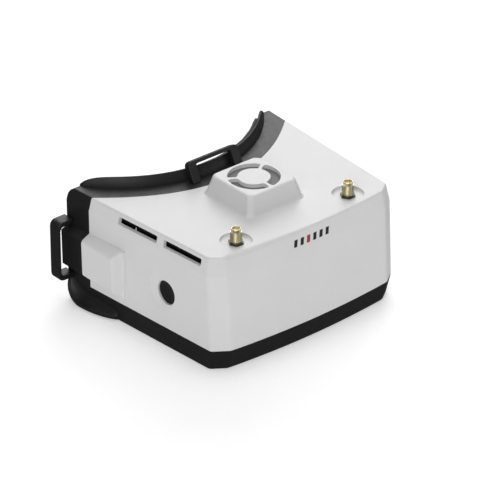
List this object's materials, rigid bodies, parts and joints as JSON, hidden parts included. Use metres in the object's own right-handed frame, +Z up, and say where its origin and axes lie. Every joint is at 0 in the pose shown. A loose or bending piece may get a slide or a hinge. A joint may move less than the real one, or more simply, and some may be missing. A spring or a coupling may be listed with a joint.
{
  "type": "fpv goggles",
  "caption": "Box-style video goggles with a curved face frame, fan tower, aerial jacks, strap loops, push-and-turn menu dial and a display behind one large lens.",
  "frame": {"origin": "middle of the bounding box on the plane the tray stands on", "axes": "+X to the wearer's right-hand side seen from behind the goggles' front, -Y out of the front face away from the wearer, +Z up"},
  "size_m": [0.1648, 0.1226, 0.0784],
  "materials": {
    "white_plastic": "fine satin texture",
    "black_plastic": "fine satin texture",
    "foam": "brushed cover over soft foam",
    "mark_dark": "satin inlay",
    "mark_red": "satin inlay",
    "jack_gold": "gold plated",
    "dark_nut": "blackened",
    "ptfe": "waxy",
    "contact_gold": "gold plated",
    "cable_black": "smooth jacket",
    "fan_black": "moulded",
    "screen_grey": "fine nylon mesh",
    "screw_steel": "zinc plated",
    "board_green": "solder mask",
    "chip_black": "moulded package",
    "shield_steel": "tin plated",
    "display_dark": "glossy panel",
    "inner_black": "anti-glare matte",
    "ribbon_amber": "polyimide film",
    "lens_clear": "polished optical plastic",
    "dial_black": "satin",
    "plunger_steel": "turned",
    "encoder_grey": "moulded",
    "button_dark": "soft touch",
    "button_red": "soft touch",
    "led_clear": "diffusing",
    "jack_black": "moulded"
  },
  "bodies": {
    "housing": {"main_shell": "white_plastic", "bottom_shell": "black_plastic", "face_frame": "black_plastic", "brow_pad": "foam", "strap_loop_top": "black_plastic", "strap_loop_left": "black_plastic", "strap_loop_right": "black_plastic", "front_badge": "mark_dark", "badge_accent": "mark_red", "sma_jack_left": "jack_gold", "sma_jack_right": "jack_gold", "sma_nut_left": "dark_nut", "sma_nut_right": "dark_nut", "sma_insulator_left": "ptfe", "sma_insulator_right": "ptfe", "sma_socket_left": "contact_gold", "sma_socket_right": "contact_gold", "coax_left": "cable_black", "coax_right": "cable_black", "fan_frame": "fan_black", "fan_screen": "screen_grey", "fan_screws": "screw_steel", "main_board": "board_green", "board_chips": "chip_black", "board_shields": "shield_steel", "board_screws": "screw_steel", "lcd_panel": "display_dark", "lcd_frame": "inner_black", "display_ribbon": "ribbon_amber", "optic_tunnel": "inner_black", "inner_shroud": "inner_black", "eye_lens": "lens_clear", "lens_bezel": "inner_black", "dial_encoder": "encoder_grey", "button_board": "board_green", "button_switches": "shield_steel", "status_led": "led_clear", "io_board": "board_green", "dc_jack": "jack_black", "hdmi_port": "shield_steel", "av_jack": "jack_black", "vent_liner_left": "inner_black", "vent_liner_right": "inner_black", "shell_screws": "screw_steel", "frame_screws": "screw_steel"},
    "fan_rotor": {"fan_rotor": "fan_black"},
    "dial_plunger": {"dial_plunger": "plunger_steel"},
    "menu_dial": {"menu_dial": "dial_black"},
    "power_button": {"power_button": "button_dark"},
    "record_button": {"record_button": "button_red"}
  },
  "joints": [
    {"name": "fan_spin", "type": "hinge", "parent": "housing", "child": "fan_rotor", "pos_m": [0, -0.0117, 0.071], "axis": [0, 0, 1], "continuous": true},
    {"name": "dial_press", "type": "slide", "parent": "housing", "child": "dial_plunger", "axis": [1, 0, 0], "range_m": [0, 0.0006], "stiffness_N_per_m": 2000, "springref_m": -0.0005},
    {"name": "dial_turn", "type": "hinge", "parent": "dial_plunger", "child": "menu_dial", "pos_m": [-0.063, -0.0177, 0.034], "axis": [1, 0, 0], "continuous": true},
    {"name": "power_press", "type": "slide", "parent": "housing", "child": "power_button", "axis": [-1, 0, 0], "range_m": [0, 0.0006], "stiffness_N_per_m": 1500, "springref_m": -0.0004},
    {"name": "record_press", "type": "slide", "parent": "housing", "child": "record_button", "axis": [-1, 0, 0], "range_m": [0, 0.0006], "stiffness_N_per_m": 1500, "springref_m": -0.0004}
  ]
}
